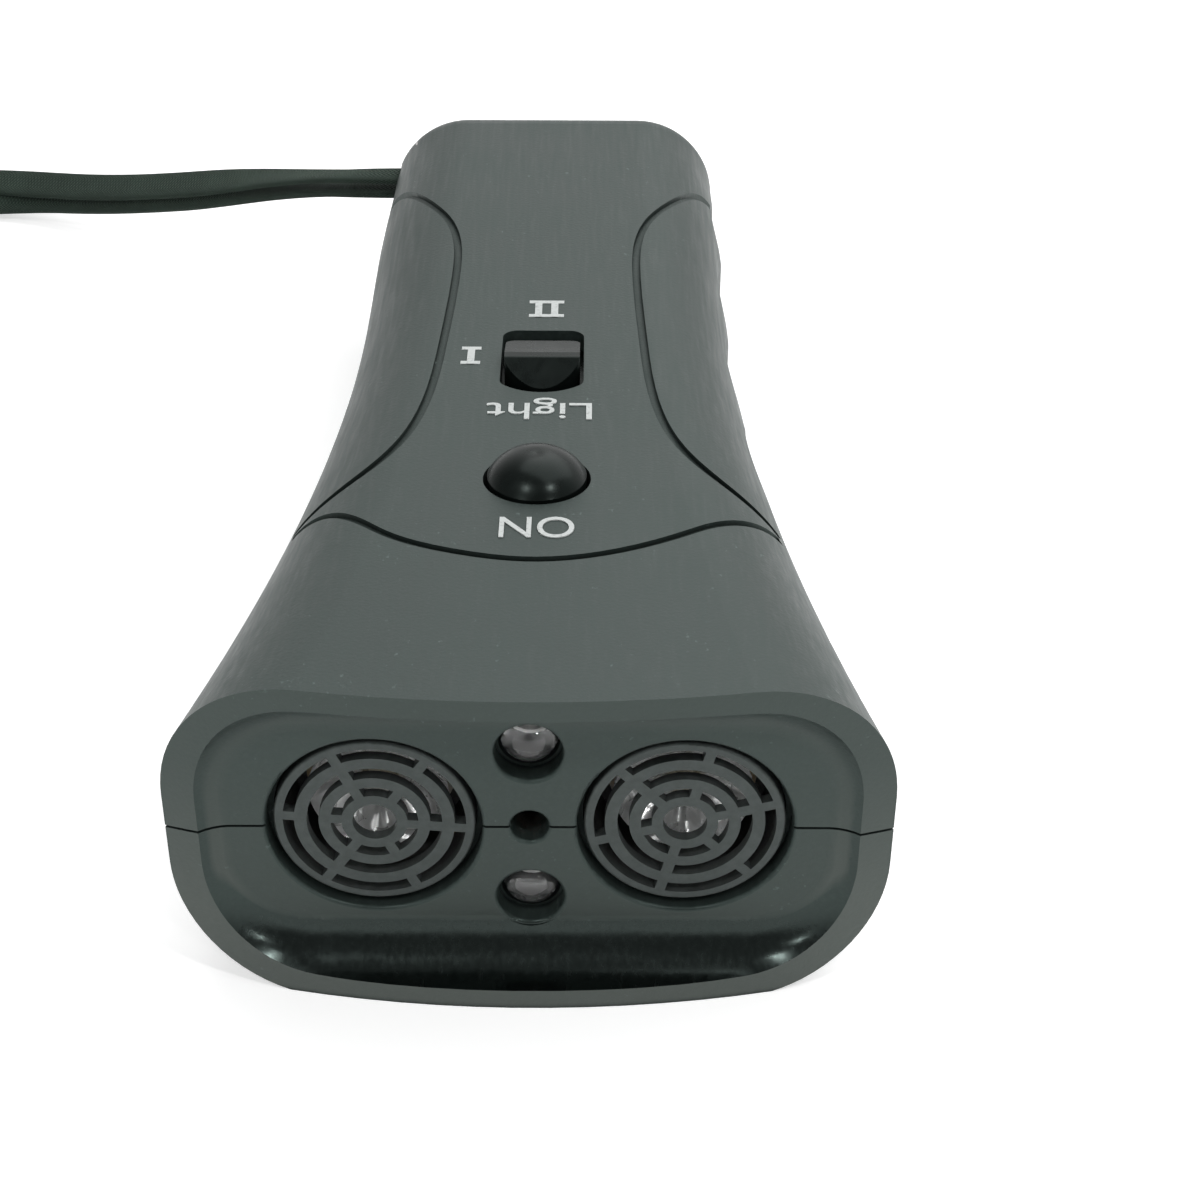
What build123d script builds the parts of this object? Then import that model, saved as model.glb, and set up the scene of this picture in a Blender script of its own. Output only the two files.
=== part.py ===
from build123d import *
import math
import os

# Hand-held ultrasonic pest repeller, in millimetres. X runs across the body, +Y from the sounding
# face to the tail of the handle, +Z up. The origin is on the resting surface, under the middle of
# the body. Two moulded halves meet at the seam; the face looks towards -Y.

# Body
body_length = 130.0
head_width = 63.4
head_top_above_seam = 16.6
grip_width = 40.4
grip_top_above_seam = 12.6
seam_height = 16.4
head_corner = 13.2
grip_corner = 9.5
flare_length = 82.65
flare_power = 1.85
tail_rounding = 5.5
wall = 2.0
sole_drop = 0.3
seam_width = 0.24
seam_depth = 0.3
foot_x, foot_y = 15.6, 50.0
foot_length, foot_width, foot_height = 12.0, 2.8, 2.6
front_bulge = 5.0

# Face plate and its lip
lip_depth = 4.65
face_thickness = 2.0
chin_rounding = 4.5

# Grooves of the grip
groove_width = 0.9
groove_depth = 0.5
finger_depth = 1.0
finger_pitch = 18.3
finger_count = 4
first_finger_y = -8.5

# Ultrasonic speakers
speaker_spacing = 26.1
speaker_radius = 8.5
speaker_depth = 9.6
speaker_gap = 0.1
speaker_opening_radius = 9.1
grille_inset = 0.6
grille_thickness = 1.0
cone_radius = 6.0
cone_depth = 4.1

# Lamps
lamp_spacing = 15.6
lamp_radius = 2.5
lamp_length = 8.6
lamp_flange = 2.95
lamp_opening_radius = 2.85
lamp_inset = 0.5
indicator_radius = 1.5
indicator_length = 5.4
indicator_inset = 3.3
sleeve_wall = 1.0
lamp_gap = 0.1
mouth_rounding = 0.35

# Push button
button_y = -27.1
button_opening_radius = 5.0
button_gap = 0.4
button_proud = 2.7
button_travel = 0.5
button_flange = 1.2

# Mode slider
slider_y = -2.65
slider_width = 8.4
slider_length = 13.7
slider_front_bow = 2.0
slider_corner = 1.5
slider_travel = 2.5
slider_gap = 0.4
slider_proud = 1.5
slider_crest = 1.4

# Circuit board
board_top = 21.0
board_thickness = 1.6
board_front = -45.0
board_rear = 4.4
board_width = 34.0
board_tail_width = 24.0
board_step_y = -6.0
board_screw_x = 14.0
board_screw_y = -33.0

# Battery and its door
battery_width = 26.5
battery_length = 48.5
battery_height = 17.5
battery_rear_gap = 4.2
battery_rounding = 1.8
snap_spacing = 12.7
door_front = 14.0
door_opening_gap = 0.35
door_skin = 1.4
door_rail = 1.2
door_rail_width = 1.0
door_gap = 0.15
door_recess = 0.15

# Screws
screw_radius = 1.2
screw_head_radius = 2.3
screw_head_height = 1.8
screw_length = 15.0
screw_seat = 5.0
screw_gap = 0.05
head_screw_x, head_screw_y = 20.5, -40.0
grip_screw_x, grip_screw_y = 15.4, 1.0
board_screw_radius = 0.85
board_screw_head = 1.9

# Wrist strap
strap_tube = 1.6
strap_y = 59.5
strap_height = 20.8
strand_spacing = 1.9
slot_width = 4.8
slot_height = 5.0
pin_radius = 0.95
pin_x = 16.2

os.makedirs("parts", exist_ok=True)

front_y = -body_length / 2
tail_y = body_length / 2
face_y = front_y + lip_depth
face_back = face_y + face_thickness
flare_end = front_y + flare_length
head_top = seam_height + head_top_above_seam
above_all = head_top + 5


def save(piece, label):
    """Write one finished piece under its own name."""
    piece.part.label = label
    export_step(piece.part, f"parts/{label}.step")


def flare(y):
    """1 at the front tip of the head, falling smoothly to 0 where the grip becomes parallel."""
    return (max(flare_end - y, 0) / flare_length) ** flare_power


def half_width(y):
    return (grip_width + (head_width - grip_width) * flare(y)) / 2


def top_height(y):
    rise = head_top_above_seam - grip_top_above_seam
    return seam_height + grip_top_above_seam + rise * flare(y)


def corner(y):
    return grip_corner + (head_corner - grip_corner) * flare(y)


def facing(y):
    """The upright plane at y that looks out of the front: local x is X and local y is Z."""
    return Plane(origin=(0, y, 0), x_dir=(1, 0, 0), z_dir=(0, -1, 0))


def lathe_plane(x, z):
    """The level plane of an axis that runs front to back: local x is the radius, local y is Y."""
    return Plane(origin=(x, 0, z), x_dir=(1, 0, 0), z_dir=(0, 0, 1))


def lathe_axis(x, z):
    return Axis((x, 0, z), (0, 1, 0))


def body_form(inset, drop=0):
    """The body's shape, drawn in by inset on every side but the front, and carried down by drop."""
    last = tail_y - inset
    stations = [front_y - 3 + (flare_end - front_y + 3) * step / 8 for step in range(9)]
    with BuildPart() as form:
        for y in [*stations, (flare_end + last) / 2, last]:
            with BuildSketch(facing(y)):
                with Locations((0, (top_height(y) - drop) / 2)):
                    RectangleRounded(
                        2 * (half_width(y) - inset),
                        top_height(y) + drop - 2 * inset,
                        corner(y) - inset,
                    )
        loft()
        fillet(form.faces().sort_by(Axis.Y)[-1].edges(), tail_rounding - inset)
    return form.part


# The outer shape is cut off level, which gives it a flat sole.
with BuildPart() as flat_bottomed:
    add(body_form(0, sole_drop))
    split(bisect_by=Plane.XY, keep=Keep.TOP)
outer_form = flat_bottomed.part
inner_form = body_form(wall)
middle_form = body_form(wall / 2)
groove_floor = body_form(groove_depth)

# ---------------------------------------------------------------- the moulded body, before it is split

lamp_heights = [seam_height + lamp_spacing / 2, seam_height - lamp_spacing / 2]
speaker_places = [-speaker_spacing / 2, speaker_spacing / 2]
case_screw_places = [
    (side * x, y)
    for side in (-1, 1)
    for x, y in ((head_screw_x, head_screw_y), (grip_screw_x, grip_screw_y))
]
board_screw_places = [(side * board_screw_x, board_screw_y) for side in (-1, 1)]

with BuildPart() as lip_space:
    add(inner_form)
    split(bisect_by=Plane.XZ.offset(-face_y), keep=Keep.TOP)
    floor_edges = lip_space.faces().sort_by(Axis.Y)[-1].edges().group_by(Axis.Z)
    fillet(floor_edges[0] + floor_edges[1], chin_rounding)

with BuildPart() as cavity:
    add(inner_form)
    split(bisect_by=Plane.XZ.offset(-face_back), keep=Keep.BOTTOM)

# The body is trimmed in plan to the bowed front of the head.
with BuildPart() as trimmed_body:
    add(outer_form)
    with BuildSketch() as plan:
        with BuildLine():
            side = head_width / 2
            bow = ThreePointArc(
                (-side, front_y + front_bulge), (0, front_y), (side, front_y + front_bulge)
            )
            Polyline(bow @ 1, (side, tail_y + 1), (-side, tail_y + 1), bow @ 0)
        make_face()
    extrude(amount=above_all, mode=Mode.INTERSECT)

# Cradles behind the face: a split ring round each speaker and a sleeve round each lamp.
with BuildPart() as cradles:
    with BuildSketch(facing(face_back)) as cradle_plan:
        with Locations(*[(x, seam_height) for x in speaker_places]):
            Circle(speaker_radius + speaker_gap + sleeve_wall)
        with Locations(*[(0, z) for z in lamp_heights]):
            Circle(lamp_radius + lamp_gap + sleeve_wall)
        with Locations((0, seam_height)):
            Circle(indicator_radius + lamp_gap + sleeve_wall)
        with Locations(*[(x, seam_height) for x in speaker_places]):
            Circle(speaker_radius + speaker_gap, mode=Mode.SUBTRACT)
        with Locations(*[(0, z) for z in lamp_heights]):
            Circle(lamp_radius + lamp_gap, mode=Mode.SUBTRACT)
        with Locations((0, seam_height)):
            Circle(indicator_radius + lamp_gap, mode=Mode.SUBTRACT)
    extrude(amount=-(lamp_length - lamp_inset + grille_inset - face_thickness - 1.7))

# Pillars that the screws bite into, hanging from the top, and bosses that rise from the floor.
pillar_radius = screw_head_radius + 0.2
boss_radius = screw_head_radius + 1.0
with BuildPart() as pillars:
    with BuildSketch(Plane.XY.offset(seam_height)):
        with Locations(*case_screw_places):
            Circle(pillar_radius)
    extrude(amount=above_all - seam_height)
    with BuildSketch(Plane.XY.offset(board_top)):
        with Locations(*board_screw_places):
            Circle(board_screw_head)
    extrude(amount=above_all - board_top)
    with BuildSketch() as boss_plan:
        with Locations(*case_screw_places):
            Circle(boss_radius)
    extrude(amount=seam_height)
    add(middle_form, mode=Mode.INTERSECT)

# Ribs: two long ones press lightly over the battery, short ones keep it central.
battery_rear = tail_y - battery_rear_gap
battery_front = battery_rear - battery_length
battery_bottom = door_skin + door_rail + 0.3
battery_top = battery_bottom + battery_height
rib = 1.2
with BuildPart() as ribs:
    with BuildSketch(Plane.XY.offset(battery_top + 0.3)):
        with Locations((-8, (battery_front + battery_rear) / 2), (8, (battery_front + battery_rear) / 2)):
            Rectangle(rib, battery_length - 8)
    extrude(amount=above_all - battery_top)
    with BuildSketch(Plane.XY.offset(battery_bottom)):
        for side in (-1, 1):
            with Locations(
                (side * (battery_width / 2 + 0.4 + 3), battery_front + 8),
                (side * (battery_width / 2 + 0.4 + 3), battery_rear - 14),
            ):
                Rectangle(6, rib)
    extrude(amount=seam_height - battery_bottom)
    add(middle_form, mode=Mode.INTERSECT)

# Bosses that hold the lanyard pin beside the battery.
slot_bottom = strap_height - slot_height / 2
with BuildPart() as pin_bosses:
    with BuildSketch(Plane.XY.offset(battery_bottom)):
        with Locations((-pin_x, strap_y)):
            Circle(pin_radius + sleeve_wall)
    extrude(amount=8)
    with BuildSketch(Plane.XY.offset(slot_bottom + slot_height + 0.6)):
        with Locations((-pin_x, strap_y)):
            Circle(pin_radius + sleeve_wall)
    extrude(amount=above_all)
    add(middle_form, mode=Mode.INTERSECT)

pin_bottom = battery_bottom + 2
pin_top = slot_bottom + slot_height + 3.0
# Rings cut away to round the rims of the face's openings.
with BuildPart() as mouths:
    for radius, x, z in (
        *[(speaker_opening_radius, x, seam_height) for x in speaker_places],
        *[(lamp_opening_radius, 0, z) for z in lamp_heights],
        (indicator_radius + lamp_gap, 0, seam_height),
    ):
        outside = radius + mouth_rounding
        inside = face_y + mouth_rounding
        bevel = mouth_rounding * math.sqrt(0.5)
        within, ahead = radius - 0.3, face_y - 0.5
        with BuildSketch(lathe_plane(x, z)):
            with BuildLine():
                rim = ThreePointArc((outside, face_y), (outside - bevel, inside - bevel), (radius, inside))
                Polyline(rim @ 1, (within, inside), (within, ahead), (outside, ahead), rim @ 0)
            make_face()
        revolve(axis=lathe_axis(x, z))

# The fine line where the two halves meet, round the outside and across the face.
with BuildPart() as seam_core:
    add(body_form(seam_depth))
    split(bisect_by=Plane.XZ.offset(-(face_y + seam_depth)), keep=Keep.BOTTOM)

with BuildPart() as seam_line:
    with BuildSketch(Plane.XY.offset(seam_height - seam_width / 2)):
        Rectangle(2 * head_width, 2 * body_length)
    extrude(amount=seam_width)
    add(seam_core.part, mode=Mode.SUBTRACT)

with BuildPart() as body:
    add(trimmed_body.part)
    add(lip_space.part, mode=Mode.SUBTRACT)
    add(cavity.part, mode=Mode.SUBTRACT)
    add(cradles.part)
    add(pillars.part)
    add(ribs.part)
    add(pin_bosses.part)
    # openings of the face
    with BuildSketch(facing(face_y - 1)):
        with Locations(*[(x, seam_height) for x in speaker_places]):
            Circle(speaker_opening_radius)
        with Locations(*[(0, z) for z in lamp_heights]):
            Circle(lamp_opening_radius)
        with Locations((0, seam_height)):
            Circle(indicator_radius + lamp_gap)
    extrude(amount=-(face_thickness + 1), mode=Mode.SUBTRACT)
    add(mouths.part, mode=Mode.SUBTRACT)
    add(seam_line.part, mode=Mode.SUBTRACT)
    # feet either side of the battery door
    with BuildSketch():
        with Locations((-foot_x, foot_y), (foot_x, foot_y)):
            SlotOverall(foot_length, foot_width, rotation=90)
    extrude(amount=foot_height)
    # screw holes: a pocket for the head, a clear hole through the boss, a pilot in the pillar
    with BuildSketch():
        with Locations(*case_screw_places):
            Circle(screw_head_radius + 0.2)
    extrude(amount=screw_seat, mode=Mode.SUBTRACT)
    with BuildSketch(Plane.XY.offset(screw_seat)):
        with Locations(*case_screw_places):
            Circle(screw_radius + screw_gap)
    extrude(amount=screw_length + 0.5, mode=Mode.SUBTRACT)
    with BuildSketch(Plane.XY.offset(board_top)):
        with Locations(*board_screw_places):
            Circle(board_screw_radius + screw_gap)
    extrude(amount=4.5, mode=Mode.SUBTRACT)
    # the lanyard pin's seats and the slot that the strap leaves by
    with BuildSketch(Plane.XY.offset(pin_bottom)):
        with Locations((-pin_x, strap_y)):
            Circle(pin_radius + screw_gap)
    extrude(amount=pin_top - pin_bottom, mode=Mode.SUBTRACT)
    with BuildSketch(Plane.YZ.offset(-grip_width / 2 - 1)):
        with Locations((strap_y, strap_height)):
            RectangleRounded(slot_width, slot_height, 1.0)
    extrude(amount=grip_width / 2 + 1 - pin_x, mode=Mode.SUBTRACT)
    # finger grooves down the right side of the grip
    finger_radius = (finger_pitch**2 / 4 + finger_depth**2) / (2 * finger_depth)
    with BuildSketch():
        for number in range(finger_count):
            y = first_finger_y + finger_pitch * number
            with Locations((half_width(y) - finger_depth + finger_radius, y)):
                Circle(finger_radius)
    extrude(amount=above_all, mode=Mode.SUBTRACT)

# ---------------------------------------------------------------- decorative grooves

with BuildPart() as groove_cutter:
    with BuildSketch(Plane.XY.offset(seam_height)):
        with BuildLine():
            Spline(
                (-22.5, -31.0), (-18.6, -32.4), (-13.7, -37.1), (-6.8, -40.7),
                (0, -42.0), (6.8, -40.7), (13.7, -37.1), (18.6, -33.6), (22.5, -31.0),
            )  # fmt: skip
        trace(line_width=groove_width)
    extrude(amount=above_all - seam_height)
    for side in (-1, 1):
        with BuildSketch(Plane.XY.offset(seam_height)):
            with BuildLine():
                Spline(
                    (side * 22.5, 50.5), (side * 18, 45), (side * 14, 37), (side * 11.3, 31),
                    (side * 9.8, 18), (side * 10.3, 2), (side * 11.4, -12.5),
                    (side * 14, -21.8), (side * 22.5, -30.0),
                )  # fmt: skip
            trace(line_width=groove_width)
        extrude(amount=above_all - seam_height)
    add(groove_floor, mode=Mode.SUBTRACT)

# ---------------------------------------------------------------- upper and lower housings

slider_half = slider_width / 2


def slider_outline(margin, length):
    """Plan of the slider's opening, or of the knob in it: square at the rear, bowed at the front."""
    half = slider_half - margin
    rear = slider_y + length / 2
    front = slider_y - length / 2
    with BuildSketch() as outline:
        with BuildLine():
            bow = ThreePointArc((-half, front + slider_front_bow), (0, front), (half, front + slider_front_bow))
            Polyline(bow @ 1, (half, rear), (-half, rear), bow @ 0)
        make_face()
        fillet(outline.vertices(), slider_corner - margin)
    return outline.sketch


with BuildPart() as upper_housing:
    add(body.part)
    split(bisect_by=Plane.XY.offset(seam_height), keep=Keep.TOP)
    add(groove_cutter.part, mode=Mode.SUBTRACT)
    with BuildSketch(Plane.XY.offset(board_top)):
        with Locations((0, button_y)):
            Circle(button_opening_radius)
        add(slider_outline(0, slider_length))
    extrude(amount=above_all, mode=Mode.SUBTRACT)
save(upper_housing, "upper_housing")

opening_half = battery_width / 2 + door_opening_gap
door_inner_half = opening_half + door_rail_width


def door_block(gap):
    """The door's section, an inner rail layer wider than the outer skin, drawn out along Y."""
    with BuildPart() as block:
        with BuildSketch(Plane.XY.offset(-1)):
            with Locations((0, door_front - gap)):
                Rectangle(2 * (opening_half + gap), body_length, align=(Align.CENTER, Align.MIN))
        extrude(amount=door_skin + 1)
        with BuildSketch(Plane.XY.offset(door_skin - gap)):
            with Locations((0, door_front - gap)):
                Rectangle(2 * (door_inner_half + gap), body_length, align=(Align.CENTER, Align.MIN))
        extrude(amount=door_rail + 2 * gap)
    return block.part


with BuildPart() as lower_housing:
    add(body.part)
    split(bisect_by=Plane.XY.offset(seam_height), keep=Keep.BOTTOM)
    add(door_block(door_gap), mode=Mode.SUBTRACT)
save(lower_housing, "lower_housing")

with BuildPart() as battery_door:
    add(outer_form)
    add(door_block(0), mode=Mode.INTERSECT)
    split(bisect_by=Plane.XY.offset(door_recess), keep=Keep.TOP)
    with BuildSketch() as thumb_grip:
        with Locations((0, door_front + 9)):
            with GridLocations(0, 2.4, 1, 5):
                Rectangle(12, 1.0)
    extrude(amount=door_recess + 0.5, mode=Mode.SUBTRACT)
save(battery_door, "battery_door")

# ---------------------------------------------------------------- ultrasonic speakers


def slot_ring(inner, outer, spoke_angles, spoke_width):
    """A ring of curved slots, parted by spokes at the given angles."""
    with BuildSketch() as ring:
        Circle(outer)
        Circle(inner, mode=Mode.SUBTRACT)
        for angle in spoke_angles:
            with Locations(Location((0, 0, 0), (0, 0, angle))):
                Rectangle(2 * outer, spoke_width, align=(Align.MIN, Align.CENTER), mode=Mode.SUBTRACT)
    return ring.sketch


grille_y = face_y + grille_inset
case_front = grille_y + grille_thickness
case_rear = grille_y + speaker_depth
case_wall = 0.8
case_floor = 1.2
cone_y = grille_y + cone_depth
piezo_y = cone_y + 3.0
piezo_thickness = 0.6
piezo_radius = 6.5

# Each grille sits in its ring turned to its own angle.
for side, speaker_x, turn in (("left", speaker_places[0], -5), ("right", speaker_places[1], 15)):
    with BuildPart() as speaker_grille:
        with BuildSketch(facing(case_front)):
            with Locations((speaker_x, seam_height)):
                Circle(speaker_radius)
                Circle(1.85, mode=Mode.SUBTRACT)
                every_spoke = [turn + 60 * number for number in range(6)]
                add(slot_ring(2.8, 3.7, every_spoke, 0.9), mode=Mode.SUBTRACT)
                add(slot_ring(4.7, 5.7, every_spoke[::2], 1.0), mode=Mode.SUBTRACT)
                add(slot_ring(6.75, 7.7, every_spoke, 0.9), mode=Mode.SUBTRACT)
        extrude(amount=grille_thickness)
        fillet(speaker_grille.faces().sort_by(Axis.Y)[0].outer_wire().edges(), 0.25)
    save(speaker_grille, f"{side}_speaker_grille")

    with BuildPart() as speaker_case:
        with BuildSketch(lathe_plane(speaker_x, seam_height)):
            with BuildLine():
                Polyline(
                    (0, case_rear), (speaker_radius, case_rear), (speaker_radius, case_front),
                    (speaker_radius - case_wall, case_front),
                    (speaker_radius - case_wall, piezo_y + piezo_thickness),
                    (piezo_radius - 1, piezo_y + piezo_thickness),
                    (piezo_radius - 1, case_rear - case_floor), (0, case_rear - case_floor),
                    close=True,
                )  # fmt: skip
            make_face()
        revolve(axis=lathe_axis(speaker_x, seam_height))
    save(speaker_case, f"{side}_speaker_case")

    with BuildPart() as speaker_cone:
        with BuildSketch(lathe_plane(speaker_x, seam_height)):
            with BuildLine():
                Polyline(
                    (cone_radius, cone_y), (cone_radius, cone_y + 0.4), (1.6, piezo_y), (0, piezo_y),
                    (0, piezo_y - 0.5), (1.3, piezo_y - 0.5),
                    close=True,
                )  # fmt: skip
            make_face()
        revolve(axis=lathe_axis(speaker_x, seam_height))
    save(speaker_cone, f"{side}_speaker_cone")

    with BuildPart() as piezo_disc:
        with BuildSketch(facing(piezo_y + piezo_thickness)):
            with Locations((speaker_x, seam_height)):
                Circle(piezo_radius)
        extrude(amount=piezo_thickness)
    save(piezo_disc, f"{side}_piezo_disc")

    with BuildPart() as speaker_pins:
        with BuildSketch(facing(case_rear)):
            with Locations((speaker_x, seam_height)):
                with GridLocations(5, 0, 2, 1):
                    Circle(0.35)
        extrude(amount=-3.5)
    save(speaker_pins, f"{side}_speaker_pins")

# ---------------------------------------------------------------- lamps


def lamp(tip_y, z, radius, length, flange):
    """A round-nosed lamp on a front-to-back axis, with the flange at its rear end."""
    with BuildPart() as body_of_lamp:
        with BuildSketch(lathe_plane(0, z)):
            with BuildLine():
                nose = CenterArc((0, tip_y + radius), radius, -90, 90)
                Polyline(
                    nose @ 1, (radius, tip_y + length - 1), (flange, tip_y + length - 1),
                    (flange, tip_y + length), (0, tip_y + length), nose @ 0,
                )  # fmt: skip
            make_face()
        revolve(axis=lathe_axis(0, z))
    return body_of_lamp


lamp_tip = face_y + lamp_inset
lamp_base = lamp_tip + lamp_length
indicator_tip = face_y + indicator_inset
indicator_base = indicator_tip + indicator_length
for label, z in zip(("upper_lamp", "lower_lamp"), lamp_heights, strict=True):
    save(lamp(lamp_tip, z, lamp_radius, lamp_length, lamp_flange), label)
save(lamp(indicator_tip, seam_height, indicator_radius, indicator_length, 1.9), "indicator_lamp")

leg_pitch = 2.54
leg_end = lamp_base + 3.5
with BuildPart() as lamp_legs:
    with BuildSketch(facing(lamp_base)):
        with Locations(*[(0, z) for z in lamp_heights]):
            with GridLocations(leg_pitch, 0, 2, 1):
                Rectangle(0.5, 0.5)
    extrude(amount=lamp_base - leg_end)
    with BuildSketch(facing(indicator_base)):
        with Locations((0, seam_height)):
            with GridLocations(leg_pitch, 0, 2, 1):
                Rectangle(0.5, 0.5)
    extrude(amount=indicator_base - leg_end)
save(lamp_legs, "lamp_legs")

# ---------------------------------------------------------------- push button and its switch

switch_height = 3.5
plunger_radius = 1.75
plunger_top = board_top + 4.3
button_surface = top_height(button_y)
button_underside = top_height(button_y + button_opening_radius + button_flange) - wall
button_radius = button_opening_radius - button_gap

with BuildPart() as on_button:
    with BuildSketch(Plane(origin=(0, button_y, 0), x_dir=(1, 0, 0), z_dir=(0, -1, 0))):
        with BuildLine():
            rim = (button_radius, button_surface + 0.4)
            dome = ThreePointArc(
                (0, button_surface + button_proud),
                (button_radius * 0.62, button_surface + button_proud - 0.55),
                rim,
            )
            Polyline(
                dome @ 1, (button_radius, button_underside - 0.4),
                (button_opening_radius + button_flange, button_underside - 0.4),
                (button_opening_radius + button_flange, button_underside - 1.2),
                (1.5, button_underside - 1.2), (1.5, plunger_top + 0.1), (0, plunger_top + 0.1), dome @ 0,
            )  # fmt: skip
        make_face()
    revolve(axis=Axis((0, button_y, 0), (0, 0, 1)))
save(on_button, "on_button")

with BuildPart() as tact_switch:
    with BuildSketch(Plane.XY.offset(board_top)):
        with Locations((0, button_y)):
            Rectangle(6, 6)
    extrude(amount=switch_height)
    with BuildSketch(Plane.XY.offset(board_top + 1.2)):
        with Locations((0, button_y)):
            Circle(plunger_radius + 0.45)
    extrude(amount=switch_height - 1.6, mode=Mode.SUBTRACT)
    with BuildSketch(Plane.XY.offset(board_top + 1.2)):
        with Locations((0, button_y)):
            Circle(plunger_radius + 0.05)
    extrude(amount=switch_height, mode=Mode.SUBTRACT)
save(tact_switch, "tact_switch")

with BuildPart() as switch_plunger:
    with BuildSketch(Plane.XY.offset(board_top + 2.0)):
        with Locations((0, button_y)):
            Circle(plunger_radius + 0.3)
    extrude(amount=0.8)
    with BuildSketch(Plane.XY.offset(board_top + 2.0)):
        with Locations((0, button_y)):
            Circle(plunger_radius)
    extrude(amount=plunger_top - board_top - 2.0)
save(switch_plunger, "switch_plunger")

# ---------------------------------------------------------------- mode slider and its switch

knob_length = slider_length - 2 * (slider_travel + slider_gap / 2)
knob_half = slider_half - slider_gap
knob_rear = slider_y + knob_length / 2
knob_front = slider_y - knob_length / 2
crest_middle = slider_y - slider_crest
plate_half = slider_half + 1.0
plate_length = slider_length + 2 * slider_travel + 1.6
plate_top = top_height(slider_y + plate_length / 2 + slider_travel) - wall - 0.25
plate_bottom = plate_top - 0.8
slider_surface = top_height(slider_y)
stem_half = 1.0

with BuildPart() as mode_knob:
    add(slider_outline(slider_gap, knob_length))
    extrude(amount=above_all)
    with BuildSketch(Plane.YZ.offset(-slider_half)) as ridge:
        with BuildLine():
            Polyline(
                (knob_front, plate_bottom), (knob_rear, plate_bottom),
                (knob_rear, slider_surface + 0.1), (crest_middle + 0.5, slider_surface + slider_proud),
                (crest_middle - 0.5, slider_surface + slider_proud), (knob_front + 0.6, slider_surface - 0.2),
                (knob_front, slider_surface - 0.9),
                close=True,
            )  # fmt: skip
        make_face()
    extrude(amount=slider_width, mode=Mode.INTERSECT)
    with BuildSketch(Plane.XY.offset(plate_bottom)):
        with Locations((0, slider_y)):
            Rectangle(2 * plate_half, plate_length)
    extrude(amount=plate_top - plate_bottom)
    with BuildSketch(Plane.XY.offset(plate_bottom)):
        with Locations((0, slider_y)):
            Rectangle(2 * stem_half + 0.1, 2 * stem_half + 0.1)
    extrude(amount=2.0, mode=Mode.SUBTRACT)
    fillet(mode_knob.faces().sort_by(Axis.Z)[-1].edges().filter_by(Axis.X), 0.4)
save(mode_knob, "mode_knob")

can_height = 4.0
can_width = 6.4
can_length = 12.6
with BuildPart() as slide_switch:
    with BuildSketch(Plane.XY.offset(board_top)):
        with Locations((0, slider_y)):
            Rectangle(can_width, can_length)
    extrude(amount=can_height)
    with BuildSketch(Plane.XY.offset(board_top + 0.8)):
        with Locations((0, slider_y)):
            Rectangle(can_width - 1.6, can_length - 1.6)
    extrude(amount=can_height - 1.4, mode=Mode.SUBTRACT)
    with BuildSketch(Plane.XY.offset(board_top + 1)):
        with Locations((0, slider_y)):
            Rectangle(2 * stem_half + 0.3, 2 * (stem_half + slider_travel) + 0.4)
    extrude(amount=can_height, mode=Mode.SUBTRACT)
save(slide_switch, "slide_switch")

with BuildPart() as switch_carriage:
    with BuildSketch(Plane.XY.offset(board_top + 0.9)):
        with Locations((0, slider_y)):
            Rectangle(can_width - 1.9, 2 * stem_half + 2.4)
    extrude(amount=1.6)
    with BuildSketch(Plane.XY.offset(board_top + 0.9)):
        with Locations((0, slider_y)):
            Rectangle(2 * stem_half, 2 * stem_half)
    extrude(amount=plate_bottom + 1.8 - board_top - 0.9)
save(switch_carriage, "switch_carriage")

# ---------------------------------------------------------------- circuit board and what it carries

board_bottom = board_top - board_thickness
with BuildPart() as circuit_board:
    with BuildSketch(Plane.XY.offset(board_bottom)) as board_plan:
        with BuildLine():
            Polyline(
                (-board_width / 2, board_front), (board_width / 2, board_front),
                (board_width / 2, board_step_y), (board_tail_width / 2, board_step_y),
                (board_tail_width / 2, board_rear), (-board_tail_width / 2, board_rear),
                (-board_tail_width / 2, board_step_y), (-board_width / 2, board_step_y),
                close=True,
            )  # fmt: skip
        make_face()
        with Locations(*board_screw_places):
            Circle(board_screw_radius + 0.25, mode=Mode.SUBTRACT)
    extrude(amount=board_thickness)
save(circuit_board, "circuit_board")

core_x, core_y = -8.5, -24.0
with BuildPart() as transformer_core:
    with BuildSketch(Plane.XY.offset(board_bottom)):
        with Locations((core_x, core_y)):
            Rectangle(10.2, 12.4)
    extrude(amount=-10.5)
    with BuildSketch(Plane.XY.offset(board_bottom)):
        with Locations((core_x, core_y - 4.2), (core_x, core_y + 4.2)):
            Rectangle(11, 2.2)
    extrude(amount=-8.4, mode=Mode.SUBTRACT)
save(transformer_core, "transformer_core")

with BuildPart() as transformer_winding:
    with BuildSketch(Plane.XY.offset(board_bottom)):
        with Locations((core_x, core_y - 4.2), (core_x, core_y + 4.2)):
            Rectangle(9.4, 2.0)
    extrude(amount=-8.2)
save(transformer_winding, "transformer_winding")

with BuildPart() as capacitors:
    with BuildSketch(Plane.XY.offset(board_bottom)):
        with Locations((6, -33), (6, -24.5)):
            Circle(3.15)
    extrude(amount=-11)
    fillet(capacitors.faces().sort_by(Axis.Z)[0].edges(), 0.4)
    fillet(capacitors.faces().group_by(Axis.Z)[0].edges().filter_by(GeomType.CIRCLE)[-1:], 0.4)
save(capacitors, "capacitors")

chip_y = -13.0
with BuildPart() as timer_chip:
    with BuildSketch(Plane.XY.offset(board_bottom - 0.6)):
        with Locations((5.5, chip_y)):
            Rectangle(6.4, 9.6)
    extrude(amount=-3.3)
save(timer_chip, "timer_chip")

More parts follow.
